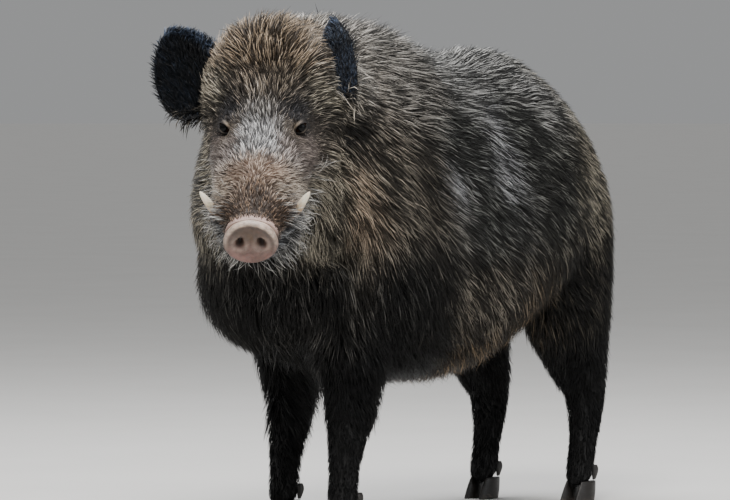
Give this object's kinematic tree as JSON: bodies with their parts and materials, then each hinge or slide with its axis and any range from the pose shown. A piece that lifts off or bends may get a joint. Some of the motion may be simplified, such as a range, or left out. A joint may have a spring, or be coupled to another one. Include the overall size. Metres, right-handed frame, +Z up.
{
  "type": "wild boar",
  "caption": "Life-size still model of a standing wild boar, with coarse winter coat, upright ears, short tusks and head turned to its left.",
  "frame": {"origin": "on the ground, under the middle of the box of the whole boar", "axes": "+Z up; the trunk lies along Y with the rump to +Y and the shoulders to -Y; +X is the boar's own left"},
  "size_m": [0.4732, 1.3644, 0.9072],
  "materials": {
    "coat_body": "coarse bristly coat, charcoal grey-brown with pale tips",
    "coat_head": "short bristly coat, grey-brown with tan tips",
    "coat_dark": "long coarse coat, near black",
    "nose_skin": "bare moist skin, pinkish brown",
    "eye": "wet, dark brown",
    "tusk": "ivory, yellow at the root",
    "horn": "worn dark horn"
  },
  "bodies": {
    "root": {"neck": "coat_body", "shoulders": "coat_body", "barrel": "coat_body", "rump": "coat_body", "head": "coat_head", "snout": "coat_head", "jaw": "coat_head", "tail": "coat_dark", "ear_left": "coat_dark", "ear_right": "coat_dark", "foreleg_left": "coat_dark", "foreleg_right": "coat_dark", "hindleg_left": "coat_dark", "hindleg_right": "coat_dark", "forefoot_left": "coat_dark", "forefoot_right": "coat_dark", "hindfoot_left": "coat_dark", "hindfoot_right": "coat_dark", "nose_disc": "nose_skin", "eye_left": "eye", "eye_right": "eye", "tusk_left": "tusk", "tusk_right": "tusk", "hoof_fore_left_outer": "horn", "hoof_fore_left_inner": "horn", "dewclaw_fore_left_outer": "horn", "dewclaw_fore_left_inner": "horn", "hoof_fore_right_outer": "horn", "hoof_fore_right_inner": "horn", "dewclaw_fore_right_outer": "horn", "dewclaw_fore_right_inner": "horn", "hoof_hind_left_outer": "horn", "hoof_hind_left_inner": "horn", "dewclaw_hind_left_outer": "horn", "dewclaw_hind_left_inner": "horn", "hoof_hind_right_outer": "horn", "hoof_hind_right_inner": "horn", "dewclaw_hind_right_outer": "horn", "dewclaw_hind_right_inner": "horn"}
  },
  "joints": []
}
